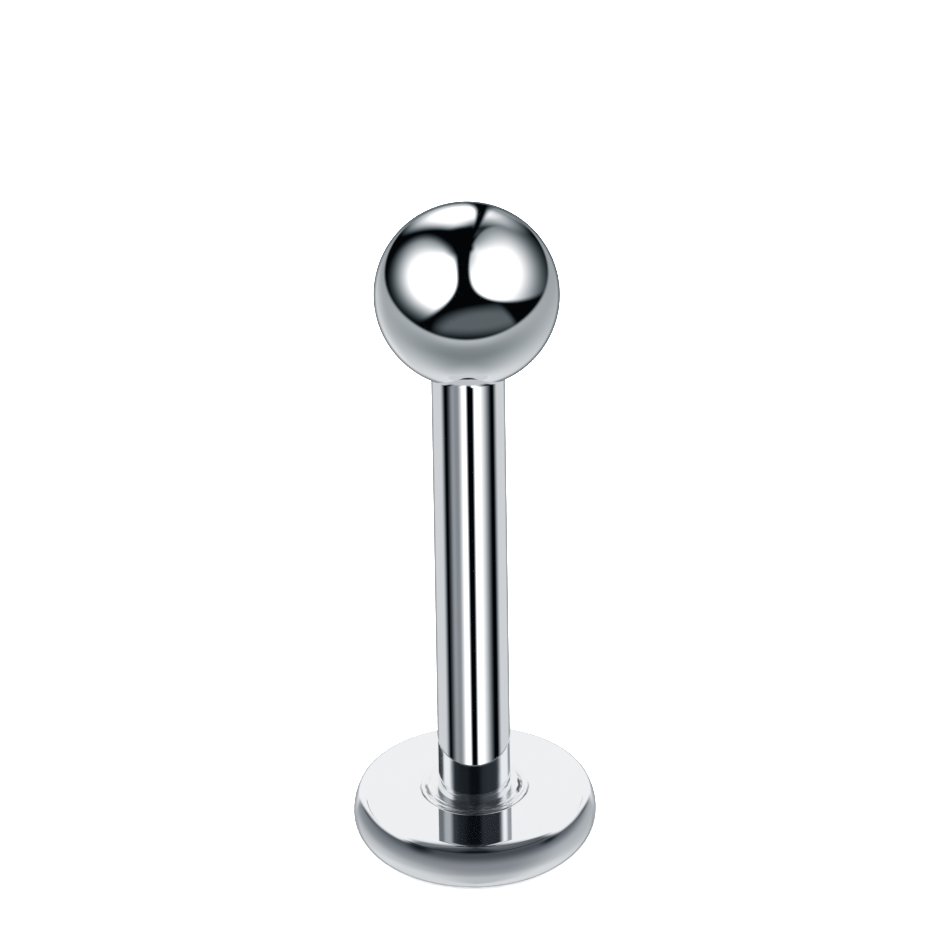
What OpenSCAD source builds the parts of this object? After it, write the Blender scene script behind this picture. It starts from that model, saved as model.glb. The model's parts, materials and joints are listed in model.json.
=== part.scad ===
// Labret stud: a straight bar welded to a flat base disc, with a ball that screws on its threaded end.
// Millimetres, +Z up the bar. The origin is the centre of the flat underside of the base disc.

/* [Bar] */
// Diameter of the bar
bar_d = 1.2; // [1:0.1:1.6]
// Length of bar that shows between the disc and the ball
wear_l = 8; // [5:0.5:14]
// Bevel on the bar's shoulder, where the thread begins
shoulder_bevel = 0.04; // [0.02:0.01:0.08]

/* [Ball] */
// Diameter of the ball
ball_d = 3; // [2.8:0.1:5]

/* [Base disc] */
// Diameter of the disc at its widest
disc_d = 4; // [3.4:0.1:6]
// Thickness of the disc
disc_t = 0.9; // [0.8:0.05:1.5]
// Radius of the disc's rounded lower edge, up to its widest point
disc_low_r = 0.45; // [0.3:0.01:0.5]
// Radius of the bulged side above that
disc_side_r = 0.8; // [0.7:0.05:1.5]
// Radius of the disc's rounded upper edge
disc_top_r = 0.18; // [0.05:0.01:0.22]

/* [Weld bead] */
// Width of the bead round the foot of the bar
bead_w = 0.3; // [0.15:0.01:0.45]
// Height of the bead above the disc
bead_h = 0.06; // [0.05:0.01:0.2]

/* [Thread] */
// Step from the bar's surface in to the crest of the thread
thread_step = 0.03; // [0.02:0.01:0.06]
// Rise of the thread in one turn
thread_pitch = 0.25; // [0.2:0.01:0.3]
// Depth of the thread
thread_depth = 0.13; // [0.08:0.01:0.15]
// Length of the threaded end, from the bar's shoulder to its tip
thread_l = 1.7; // [1.2:0.05:1.9]
// Plain neck between the shoulder and the thread
neck_l = 0.15; // [0.1:0.01:0.3]
// Bevel at the tip of the threaded end
tip_bevel = 0.12; // [0.05:0.01:0.2]

/* [Socket in the ball] */
// How far the bar's shoulder sits in the mouth of the ball
seat_depth = 0.12; // [0.05:0.01:0.2]
// Gap all round the bar in the mouth of the ball
mouth_gap = 0.03; // [0.02:0.005:0.06]
// Gap between the bar's shoulder and its seat in the ball
seat_gap = 0.02; // [0.01:0.005:0.05]
// Gap all round the thread in the ball's bore
thread_gap = 0.03; // [0.02:0.005:0.05]
// Room past the tip of the thread at the end of the bore
end_room = 0.15; // [0.1:0.05:0.3]
// Angle of the drilled point at the end of the bore
drill_angle = 118; // [90:1:140]

/* [Hidden] */
$fn = 96;
steel = [0.82, 0.83, 0.85];
// how far solids that are joined reach into each other
sink = 0.05;
// share of the weld bead's width from its outer edge in to its top
bead_top = 0.6;

bar_r = bar_d / 2;
disc_r = disc_d / 2;
ball_r = ball_d / 2;
crest_r = bar_r - thread_step;
root_r = crest_r - thread_depth;
mouth_r = bar_r + mouth_gap;
bore_r = crest_r + thread_gap;

mouth_z = disc_t + wear_l;
shoulder_z = mouth_z + seat_depth;
tip_z = shoulder_z + thread_l;
seat_z = shoulder_z + seat_gap;
bore_end_z = tip_z + end_room;
// the edge of the mouth lies on the ball, which sets the height of the ball's centre
ball_z = mouth_z + sqrt(ball_r * ball_r - mouth_r * mouth_r);

// The thread is one ridge swept up the core in straight steps. Over its first and last steps
// it sinks into the core, where this share of its height is left.
steps_a_turn = 20;
fade_steps = 8;
sunk_share = 0.1;
// corners of the ridge's section: how far out of the core and how far up,
// as shares of the thread's depth and pitch
ridge_section = [[-0.3, -0.42], [1, -0.08], [1, 0.08], [-0.3, 0.42]];
ridge_half = ridge_section[3][1] * thread_pitch;
ridge_start_z = shoulder_z + neck_l + ridge_half;
ridge_end_z = tip_z - tip_bevel - ridge_half;
ridge_steps = floor((ridge_end_z - ridge_start_z) / thread_pitch * steps_a_turn);

// share of the ridge's full height at a step
function ridge_height(step) =
    sunk_share + (1 - sunk_share) * min(1, step / fade_steps, (ridge_steps - step) / fade_steps);

// a corner of the ridge's section at a step, turned round the core and lifted by the pitch
function ridge_point(step, corner) =
    let (low = ridge_section[0][0],
         out = low + (corner[0] - low) * ridge_height(step),
         r = root_r + thread_depth * out,
         turn = step / steps_a_turn)
    [r * cos(360 * turn), r * sin(360 * turn), thread_pitch * (turn + corner[1])];

module thread_ridge() {
    corners = len(ridge_section);
    points = [for (step = [0:ridge_steps], corner = ridge_section) ridge_point(step, corner)];
    sides = [for (step = [0:ridge_steps - 1], i = [0:corners - 1])
        let (here = step * corners, next = here + corners, j = (i + 1) % corners)
        [here + i, here + j, next + j, next + i]];
    first = [for (i = [corners - 1:-1:0]) i];
    last = [for (i = [0:corners - 1]) ridge_steps * corners + i];
    polyhedron(points, concat(sides, [first, last]));
}

module threaded_end() {
    core_top_z = tip_z - tip_bevel;
    translate([0, 0, shoulder_z - sink]) cylinder(r = root_r, h = core_top_z - shoulder_z + sink);
    translate([0, 0, core_top_z]) cylinder(r1 = root_r, r2 = root_r - tip_bevel, h = tip_bevel);
    translate([0, 0, ridge_start_z]) thread_ridge();
}

module bar() {
    cylinder(r = bar_r, h = shoulder_z - shoulder_bevel);
    translate([0, 0, shoulder_z - shoulder_bevel])
        cylinder(r1 = bar_r, r2 = bar_r - shoulder_bevel, h = shoulder_bevel);
}

// half section of the base disc: a flat foot and face, and between them three arcs that run
// into each other, for the lower edge, the bulged side and the upper edge
module disc_section() {
    // on a thick disc the side needs a larger radius to reach its upper edge
    side_r = max(disc_side_r, disc_t - disc_low_r + sink);
    foot_r = disc_r - disc_low_r;
    side_x = disc_r - side_r;
    rise = disc_t - disc_top_r - disc_low_r;
    reach = side_r - disc_top_r;
    face_r = side_x + sqrt(reach * reach - rise * rise);
    side_h = rise * side_r / reach;
    square([foot_r, disc_t]);
    intersection() {
        translate([foot_r, disc_low_r]) circle(disc_low_r);
        square([disc_r, disc_low_r]);
    }
    intersection() {
        translate([side_x, disc_low_r]) circle(side_r);
        translate([0, disc_low_r]) square([disc_r, side_h]);
    }
    translate([0, disc_low_r]) square([face_r, disc_t - disc_low_r]);
    translate([face_r, disc_t - disc_top_r]) circle(disc_top_r);
}

// half section of the weld bead: a low arc that runs into the bar
module bead_section() {
    half_w = bead_w * bead_top;
    arc_r = (half_w * half_w + bead_h * bead_h) / (2 * bead_h);
    intersection() {
        translate([bar_r + bead_w - half_w, disc_t + bead_h - arc_r]) circle(arc_r);
        translate([bar_r - sink, disc_t - sink]) square([bead_w + sink, bead_h + 2 * sink]);
    }
}

module post() {
    color(steel) union() {
        rotate_extrude() disc_section();
        rotate_extrude() bead_section();
        bar();
        threaded_end();
    }
}

module ball() {
    color(steel) difference() {
        translate([0, 0, ball_z]) sphere(r = ball_r);
        translate([0, 0, ball_z - ball_r - 1]) cylinder(r = mouth_r, h = seat_z - ball_z + ball_r + 1);
        translate([0, 0, mouth_z]) cylinder(r = bore_r, h = bore_end_z - mouth_z);
        translate([0, 0, bore_end_z]) cylinder(r1 = bore_r, r2 = 0, h = bore_r / tan(drill_angle / 2));
    }
}

post();
ball();
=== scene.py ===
import json
import logging
import math
from dataclasses import dataclass, field, replace
from enum import Enum
from functools import reduce
from typing import Callable, Iterable, Sequence

import bpy
import numpy as np
from mathutils import Matrix, Vector


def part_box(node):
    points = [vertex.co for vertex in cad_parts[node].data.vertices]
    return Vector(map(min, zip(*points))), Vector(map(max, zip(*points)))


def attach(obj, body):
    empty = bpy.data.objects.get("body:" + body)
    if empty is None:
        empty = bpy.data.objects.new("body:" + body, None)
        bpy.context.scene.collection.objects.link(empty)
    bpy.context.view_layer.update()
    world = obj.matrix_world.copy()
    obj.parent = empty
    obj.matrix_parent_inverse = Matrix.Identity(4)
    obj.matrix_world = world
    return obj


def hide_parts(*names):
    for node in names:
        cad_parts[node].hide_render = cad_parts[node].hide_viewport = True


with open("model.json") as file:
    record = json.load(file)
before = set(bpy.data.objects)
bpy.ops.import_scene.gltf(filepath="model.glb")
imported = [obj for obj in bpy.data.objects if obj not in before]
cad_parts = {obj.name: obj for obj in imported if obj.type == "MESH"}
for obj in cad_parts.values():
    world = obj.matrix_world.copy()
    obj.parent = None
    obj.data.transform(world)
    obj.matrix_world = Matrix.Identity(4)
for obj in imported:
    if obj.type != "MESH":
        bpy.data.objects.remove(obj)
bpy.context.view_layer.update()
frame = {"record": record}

MM = 0.001
ON_AXIS = 1e-9
LOG = logging.getLogger("labret_stud")
Surface = Callable[[np.ndarray, float], tuple[np.ndarray, np.ndarray]]


def smooth(share: np.ndarray) -> np.ndarray:
    """Eases a share between 0 and 1, level at both ends."""
    share = np.clip(share, 0.0, 1.0)
    return share * share * (3 - 2 * share)


class Finish(Enum):
    """The finishes of the turned steel, each with its own material."""

    BALL_POLISH = "ball_polish"
    BAR_POLISH = "bar_polish"
    DISC_POLISH = "disc_polish"
    WELD_POLISH = "weld_polish"
    THREAD_SATIN = "thread_satin"


@dataclass(frozen=True)
class StudSizes:
    """Sizes of the stud in metres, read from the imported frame.

    The heights are measured from the flat foot of the disc, which is the origin.
    """

    disc_radius: float
    disc_height: float
    ball_radius: float
    ball_height: float
    mouth_height: float
    bar_radius: float
    bar_high: float
    tip_height: float

    @classmethod
    def from_frame(cls) -> "StudSizes":
        """Reads the sizes from the nodes' boxes and the record's mounts.

        Returns:
            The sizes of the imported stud.
        """
        post_low, post_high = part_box("post")
        ball_low, ball_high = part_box("ball")
        mounts = {mount["name"]: mount for mount in frame["record"]["mounts"]}
        bar = mounts["bar"]
        half_bar = bar["dims"]["length_mm"] * MM / 2
        ball_radius = (ball_high[0] - ball_low[0]) / 2
        return cls(
            disc_radius=(post_high[0] - post_low[0]) / 2,
            disc_height=mounts["disc_face"]["pos_m"][2],
            ball_radius=ball_radius,
            ball_height=ball_high[2] - ball_radius,
            mouth_height=ball_low[2],
            bar_radius=bar["dims"]["r_mm"] * MM,
            bar_high=bar["pos_m"][2] + half_bar,
            tip_height=post_high[2],
        )


@dataclass(frozen=True)
class ThreadForm:
    """The screw thread that the post and the ball share.

    The ridge's crest passes angle 0 at start_height and climbs one pitch a turn, right-handed.

    Attributes:
        crest_radius: radius over the ridge's crest.
        start_height: height of the crest at angle 0.
        low_end: height at which the ridge begins.
        high_end: height at which the ridge ends.
        depth: height of the ridge over the core.
        pitch: climb in one turn.
        run_out: length over which the ridge dies away at each end.
        crest_share: half the crest's width, as a share of the pitch.
        foot_share: half the width of the ridge's foot, as a share of the pitch.
    """

    crest_radius: float
    start_height: float
    low_end: float
    high_end: float
    depth: float = 0.13 * MM
    pitch: float = 0.25 * MM
    run_out: float = 0.2 * MM
    crest_share: float = 0.07
    foot_share: float = 0.36

    @classmethod
    def on_bar(cls, bar_radius: float, shoulder: float, bevel: float) -> "ThreadForm":
        """Sets the thread out on the end of the bar.

        Args:
            bar_radius: radius of the plain bar.
            shoulder: height of the bar's shoulder.
            bevel: height at which the tip's bevel begins.

        Returns:
            The thread.
        """
        inset, neck, first_crest, start_share = 0.03 * MM, 0.1 * MM, 0.15 * MM, 0.42
        return cls(crest_radius=bar_radius - inset, low_end=shoulder + neck, high_end=bevel,
                   start_height=shoulder + first_crest + start_share * cls.pitch)

    def radius(self, angles: np.ndarray, height: float, fade: bool) -> np.ndarray:
        """Gives the radius of the threaded surface round one ring.

        Args:
            angles: angles round the axis, in radians.
            height: height of the ring.
            fade: whether the ridge runs out at the two ends.

        Returns:
            The radius at each angle.
        """
        phase = (height - self.start_height) / self.pitch - angles / math.tau
        away = np.abs(phase - np.round(phase))
        ridge = 1 - smooth((away - self.crest_share) / (self.foot_share - self.crest_share))
        if fade:
            ends = min(height - self.low_end, self.high_end - height) / self.run_out
            ridge = ridge * min(max(ends, 0.0), 1.0)
        return self.crest_radius - self.depth * (1 - ridge)


@dataclass
class Lathe:
    """A closed turned body, built from rings round the bar's axis with exact normals.

    The section is traced with the steel on its left, from one point on the axis to another.
    """

    name: str
    segments: int
    radii: list[np.ndarray] = field(default_factory=list)
    heights: list[np.ndarray] = field(default_factory=list)
    normals: list[tuple[np.ndarray, np.ndarray]] = field(default_factory=list)
    finishes: list[Finish] = field(default_factory=list)

    @property
    def angles(self) -> np.ndarray:
        """The angle of each point of a ring."""
        return np.linspace(0, math.tau, self.segments, endpoint=False)

    def _ring(self, radius: float | np.ndarray, height: float | np.ndarray) -> None:
        """Adds a ring, with one radius and height or with one for each angle."""
        self.radii.append(np.broadcast_to(radius, self.segments).astype(float))
        self.heights.append(np.broadcast_to(height, self.segments).astype(float))

    def _band(self, low: np.ndarray, high: np.ndarray, finish: Finish) -> None:
        """Adds the band before the last ring.

        Args:
            low: normals (out, round, up) at its first edge.
            high: normals at its last edge.
            finish: the finish of the band.
        """
        shape = (self.segments, 3)
        self.normals.append((np.broadcast_to(low, shape), np.broadcast_to(high, shape)))
        self.finishes.append(finish)

    def start(self, radius: float, height: float) -> None:
        """Starts the section at a point."""
        self._ring(radius, height)

    def straight(self, radius: float, height: float, finish: Finish, steps: int = 1) -> None:
        """Runs the section straight to a point.

        Args:
            radius: radius of the end.
            height: height of the end.
            finish: the finish of the band.
            steps: how many bands to cut the run into.
        """
        from_radius, from_height = self.radii[-1], self.heights[-1]
        across, up = radius - from_radius[0], height - from_height[0]
        normal = np.array([up, 0, -across]) / math.hypot(across, up)
        for step in range(1, steps + 1):
            share = step / steps
            self._ring(from_radius + (radius - from_radius) * share,
                       from_height + (height - from_height) * share)
            self._band(normal, normal, finish)

    def arc(self, centre: tuple[float, float], start: float, stop: float, finish: Finish,
            steps: int) -> None:
        """Runs the section along an arc from its last point.

        Args:
            centre: radius and height of the arc's centre.
            start: angle of the arc's start, in degrees from straight out.
            stop: angle of its end; an arc that turns backwards is hollow.
            finish: the finish of the band.
            steps: how many bands to cut the arc into.
        """
        size = math.hypot(self.radii[-1][0] - centre[0], self.heights[-1][0] - centre[1])
        side = 1.0 if stop > start else -1.0
        turns = np.radians(np.linspace(start, stop, steps + 1))
        rays = [np.array([math.cos(turn), 0, math.sin(turn)]) for turn in turns]
        for low, high in zip(rays, rays[1:]):
            self._ring(max(centre[0] + size * high[0], 0.0), centre[1] + size * high[2])
            self._band(low * side, high * side, finish)

    def swept(self, surface: Surface, finish: Finish, steps: int) -> None:
        """Runs the section along a surface that changes round the axis.

        Args:
            surface: gives the radius and height at angles round the axis and a share of the run.
            finish: the finish of the band.
            steps: how many bands to cut the run into.
        """
        angles = self.angles
        turn, move = 1e-3, 1e-4

        def normals(share: float) -> np.ndarray:
            """Works out the normals round one ring from the surface's slopes.

            Args:
                share: the ring's share of the run.

            Returns:
                A normal (out, round, up) for each angle.
            """
            radius, _ = surface(angles, share)
            ahead, behind = surface(angles + turn, share), surface(angles - turn, share)
            after, before = surface(angles, share + move), surface(angles, share - move)
            out_turn, up_turn = ((one - other) / (2 * turn) for one, other in zip(ahead, behind))
            out_run, up_run = (one - other for one, other in zip(after, before))
            parts = np.stack([radius * up_run, up_turn * out_run - out_turn * up_run,
                              -radius * out_run], axis=-1)
            return parts / np.linalg.norm(parts, axis=-1, keepdims=True)

        shares = np.linspace(0.0, 1.0, steps + 1)
        edges = [normals(share) for share in shares]
        for low, high, share in zip(edges, edges[1:], shares[1:]):
            self._ring(*surface(angles, share))
            self._band(low, high, finish)

    def build(self, shop: "SteelShop") -> bpy.types.Object:
        """Makes the mesh object, with a material slot for each finish that it has.

        Args:
            shop: gives the materials.

        Returns:
            The object.
        """
        angles = self.angles
        outward = np.stack([np.cos(angles), np.sin(angles), np.zeros_like(angles)], axis=-1)
        around = np.stack([-np.sin(angles), np.cos(angles), np.zeros_like(angles)], axis=-1)
        up = np.array([0.0, 0.0, 1.0])
        points: list[np.ndarray] = []
        index: list[np.ndarray] = []
        count = 0
        for radius, height in zip(self.radii, self.heights):
            ring = outward * radius[:, None] + up * height[:, None]
            on_axis = float(radius.max()) < ON_AXIS
            if on_axis:
                ring = ring[:1]
            index.append(np.full(self.segments, count) if on_axis else count + np.arange(self.segments))
            points.append(ring)
            count += len(ring)
        faces: list[list[int]] = []
        corner_normals: list[np.ndarray] = []
        slots: list[int] = []
        order = [finish for finish in Finish if finish in self.finishes]
        following = np.roll(np.arange(self.segments), -1)
        for band, edges in enumerate(self.normals):
            low, high = (outward * n[:, :1] + around * n[:, 1:2] + up * n[:, 2:] for n in edges)
            below, above = index[band], index[band + 1]
            for here in range(self.segments):
                there = following[here]
                corners = [(below[here], low[here]), (below[there], low[there]),
                           (above[there], high[there]), (above[here], high[here])]
                if below[here] == below[there]:
                    del corners[1]
                if above[here] == above[there]:
                    del corners[-1]
                faces.append([int(corner[0]) for corner in corners])
                corner_normals.extend(corner[1] for corner in corners)
                slots.append(order.index(self.finishes[band]))
        mesh = bpy.data.meshes.new(self.name)
        mesh.from_pydata(np.concatenate(points).tolist(), [], faces)
        for finish in order:
            mesh.materials.append(shop.material(finish))
        mesh.polygons.foreach_set("material_index", slots)
        mesh.shade_smooth()
        mesh.normals_split_custom_set([tuple(normal) for normal in corner_normals])
        piece = bpy.data.objects.new(self.name, mesh)
        bpy.context.scene.collection.objects.link(piece)
        LOG.info("%s: %d faces, %s", self.name, len(faces), ", ".join(finish.value for finish in order))
        return piece


class Wire:
    """A value in a node tree. Arithmetic on wires adds Math nodes to the tree."""

    def __init__(self, tree: bpy.types.NodeTree, socket: bpy.types.NodeSocket) -> None:
        """Wraps an output socket of a node in the tree."""
        self.tree = tree
        self.socket = socket

    def math(self, operation: str, *others: "Wire | float") -> "Wire":
        """Adds a Math node.

        Args:
            operation: the node's operation.
            others: the second and third values.

        Returns:
            The node's result.
        """
        node = self.tree.nodes.new("ShaderNodeMath")
        node.operation = operation
        for socket, value in zip(node.inputs, (self, *others)):
            if isinstance(value, Wire):
                self.tree.links.new(value.socket, socket)
            else:
                socket.default_value = value
        return Wire(self.tree, node.outputs[0])

    def __add__(self, other: "Wire | float") -> "Wire":
        """Adds."""
        return self.math("ADD", other)

    def __sub__(self, other: "Wire | float") -> "Wire":
        """Subtracts."""
        return self.math("SUBTRACT", other)

    def __mul__(self, other: "Wire | float") -> "Wire":
        """Multiplies."""
        return self.math("MULTIPLY", other)

    def ramp(self, low: float, high: float, start: float = 0.0, stop: float = 1.0) -> "Wire":
        """Maps this value smoothly from low..high to start..stop, and holds it past the ends.

        Args:
            low: the value that gives start.
            high: the value that gives stop.
            start: the result at low.
            stop: the result at high.

        Returns:
            The mapped value.
        """
        node = self.tree.nodes.new("ShaderNodeMapRange")
        node.interpolation_type = "SMOOTHSTEP"
        flipped = high < low
        ends = (high, low, stop, start) if flipped else (low, high, start, stop)
        self.tree.links.new(self.socket, node.inputs["Value"])
        for name, value in zip(("From Min", "From Max", "To Min", "To Max"), ends):
            node.inputs[name].default_value = value
        return Wire(self.tree, node.outputs["Result"])

    def near(self, centre: float, half: float, soft: float) -> "Wire":
        """Gives 1 within half of a centre, falling to 0 over soft beyond it."""
        return (self - centre).math("ABSOLUTE").ramp(half + soft, half)

    def rest(self) -> "Wire":
        """Gives 1 less this value."""
        return self * -1.0 + 1.0

    def blend(self, other: "Wire | float", share: "Wire") -> "Wire":
        """Mixes this value with another.

        Args:
            other: the other value.
            share: 0 for this value, 1 for the other.

        Returns:
            The mixture.
        """
        return self * share.rest() + share * other


def total(wires: Iterable[Wire]) -> Wire:
    """Adds wires up."""
    return reduce(Wire.__add__, wires)


@dataclass(frozen=True)
class Panel:
    """A soft lamp panel with rounded corners, in degrees.

    Attributes:
        azimuth: azimuth of its middle.
        elevation: elevation of its middle.
        half_width: half its width.
        half_height: half its height.
        squareness: 2 for an ellipse, more for squarer corners.
        soft: share of its size over which its edge fades.
        light: how bright it is.
    """

    azimuth: float
    elevation: float
    half_width: float
    half_height: float
    squareness: float = 2.0
    soft: float = 0.9
    light: float = 1.0


@dataclass(frozen=True)
class Wash:
    """Light that comes up smoothly along an angle or a length.

    Attributes:
        start: where it begins.
        full: where it is full, which may be the lower of the two.
        light: how bright it is there.
    """

    start: float
    full: float
    light: float = 1.0

    def over(self, along: Wire) -> Wire:
        """Gives its light at a place along the angle or the length."""
        return along.ramp(self.start, self.full) * self.light


@dataclass(frozen=True)
class Strip:
    """A soft-edged strip of light across an angle or a length.

    Attributes:
        middle: where its middle is.
        half: half the width over which it is full.
        soft: how far it fades beyond that.
        light: how bright it is.
    """

    middle: float
    half: float
    soft: float
    light: float = 1.0

    def over(self, along: Wire) -> Wire:
        """Gives its light at a place along the angle or the length."""
        return along.near(self.middle, self.half, self.soft) * self.light


Fade = Wash | Strip


@dataclass(frozen=True)
class Patch:
    """A patch of light, with one fade round the room and one up it."""

    around: Fade
    up: Fade

    def over(self, turn: Wire, elevation: Wire) -> Wire:
        """Gives its light at an angle round and an elevation."""
        return self.around.over(turn) * self.up.over(elevation)


@dataclass(frozen=True)
class Direction:
    """Where a reflection looks.

    Attributes:
        azimuth: degrees round from the front towards +X.
        elevation: degrees up.
        x: its part along +X, with the whole as 1.
        y: its part along +Y, to the back.
        z: its part along +Z.
    """

    azimuth: Wire
    elevation: Wire
    x: Wire
    y: Wire
    z: Wire

    @property
    def turn(self) -> Wire:
        """How far round from the front it looks, to either side."""
        return self.azimuth.math("ABSOLUTE")

    @property
    def onward(self) -> Wire:
        """How nearly it looks on along the photo's line of sight, as the rim of a mirror does."""
        sight_level, sight_drop = 0.8559, 0.5171
        return self.y * sight_level - self.z * sight_drop

    def panel(self, panel: Panel, cut: Wire | None = None) -> Wire:
        """Gives the light of a panel.

        Args:
            panel: the panel.
            cut: 1 on the line where a side of it is cut off, falling to 0 inside that.

        Returns:
            Its light on the panel, and 0 off it.
        """
        power = panel.squareness
        across = (self.azimuth - panel.azimuth).math("WRAP", 180.0, -180.0).math("ABSOLUTE")
        tall = (self.elevation - panel.elevation).math("ABSOLUTE")
        across = (across * (1 / panel.half_width)).math("POWER", power)
        tall = (tall * (1 / panel.half_height)).math("POWER", power)
        size = across + tall
        if cut is not None:
            size = size + cut.math("POWER", power)
        return size.math("POWER", 1 / power).ramp(1.0, 1.0 - panel.soft) * panel.light

    def sheared(self, slant: float, pivot: float = 35.0) -> "Direction":
        """Leans every panel to one side, by a share of the elevation over a pivot."""
        return replace(self, azimuth=self.azimuth + (self.elevation - pivot) * slant)


@dataclass(frozen=True)
class SoftLamp:
    """A big soft lamp, cut off below along a slant and brightest in one place.

    Attributes:
        shape: the panel that it fills.
        cut_slope: degrees that the cut climbs in a degree round.
        cut_height: elevation of the cut straight in front.
        cut_reach: degrees over the cut at which it is no longer felt.
        heat: the wide panel that its brightness follows.
        heat_lean: degrees that the heat leans round in a degree up.
        heat_power: how sharply the brightness falls off.
        light: how bright it is.
    """

    shape: Panel
    cut_slope: float
    cut_height: float
    cut_reach: float
    heat: Panel
    heat_lean: float
    heat_power: float
    light: float

    def over(self, to: Direction) -> Wire:
        """Works out its light.

        Args:
            to: the direction that it is seen in.

        Returns:
            The light.
        """
        above = to.elevation - to.azimuth * self.cut_slope - self.cut_height
        cut = (above * (-1 / self.cut_reach) + 1.0).math("MAXIMUM", 0.0)
        heat = to.sheared(self.heat_lean).panel(self.heat).math("POWER", self.heat_power)
        return to.panel(self.shape, cut) * heat * self.light


@dataclass(frozen=True)
class Dome:
    """A dome of studio light that only the pieces in one group reflect.

    Its greys are cool: red and green fall off a little faster than blue, and white stays white.
    """

    name: str
    radius: float
    centre_height: float
    red_power: float = 1.12
    green_power: float = 1.055
    rows: int = 32

    def build(self, glow: Callable[[Direction], Wire], pieces: Sequence[bpy.types.Object]) -> None:
        """Builds the dome round the stud.

        Args:
            glow: works out the light that comes from a direction.
            pieces: the pieces that reflect it.
        """
        mesh = bpy.data.meshes.new(self.name)
        dome = bpy.data.objects.new(self.name, mesh)
        bpy.context.scene.collection.objects.link(dome)
        turns = np.linspace(0, math.tau, 2 * self.rows, endpoint=False)
        points = []
        for tilt in np.linspace(-math.pi / 2, math.pi / 2, self.rows + 1):
            out, up = self.radius * math.cos(tilt), self.radius * math.sin(tilt) + self.centre_height
            points.extend((out * math.cos(turn), out * math.sin(turn), up) for turn in turns)
        size = len(turns)
        faces = [(row * size + i, (row + 1) * size + i, (row + 1) * size + (i + 1) % size,
                  row * size + (i + 1) % size) for row in range(self.rows) for i in range(size)]
        mesh.from_pydata(points, [], faces)
        mesh.materials.append(self._material(glow))
        for kind in ("camera", "diffuse", "transmission", "volume_scatter", "shadow"):
            setattr(dome, f"visible_{kind}", False)
        group = bpy.data.collections.new(f"{self.name}_pieces")
        for piece in pieces:
            group.objects.link(piece)
        dome.light_linking.receiver_collection = group

    def _material(self, glow: Callable[[Direction], Wire]) -> bpy.types.Material:
        """Makes the dome's glow, which lets the other domes through.

        Args:
            glow: works out the light that comes from a direction.

        Returns:
            The material.
        """
        material = bpy.data.materials.new(self.name)
        material.use_nodes = True
        material.cycles.emission_sampling = "NONE"
        tree = material.node_tree
        tree.nodes.clear()
        place = tree.nodes.new("ShaderNodeNewGeometry")
        shift = tree.nodes.new("ShaderNodeVectorMath")
        shift.operation = "SUBTRACT"
        shift.inputs[1].default_value = (0, 0, self.centre_height)
        unit = tree.nodes.new("ShaderNodeVectorMath")
        unit.operation = "NORMALIZE"
        split = tree.nodes.new("ShaderNodeSeparateXYZ")
        tree.links.new(place.outputs["Position"], shift.inputs[0])
        tree.links.new(shift.outputs[0], unit.inputs[0])
        tree.links.new(unit.outputs[0], split.inputs[0])
        x, y, z = (Wire(tree, split.outputs[axis]) for axis in "XYZ")
        degrees = 180 / math.pi
        looking = Direction(x.math("ARCTAN2", y * -1.0) * degrees, z.math("ARCSINE") * degrees, x, y, z)
        emission = tree.nodes.new("ShaderNodeEmission")
        clear = tree.nodes.new("ShaderNodeBsdfTransparent")
        both = tree.nodes.new("ShaderNodeAddShader")
        output = tree.nodes.new("ShaderNodeOutputMaterial")
        light = glow(looking).math("MAXIMUM", 0.0)
        colour = tree.nodes.new("ShaderNodeCombineColor")
        channels = (light.math("POWER", self.red_power), light.math("POWER", self.green_power), light)
        for channel, socket in zip(channels, colour.inputs):
            tree.links.new(channel.socket, socket)
        tree.links.new(colour.outputs["Color"], emission.inputs["Color"])
        tree.links.new(emission.outputs[0], both.inputs[0])
        tree.links.new(clear.outputs[0], both.inputs[1])
        tree.links.new(both.outputs[0], output.inputs["Surface"])
        return material


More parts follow.
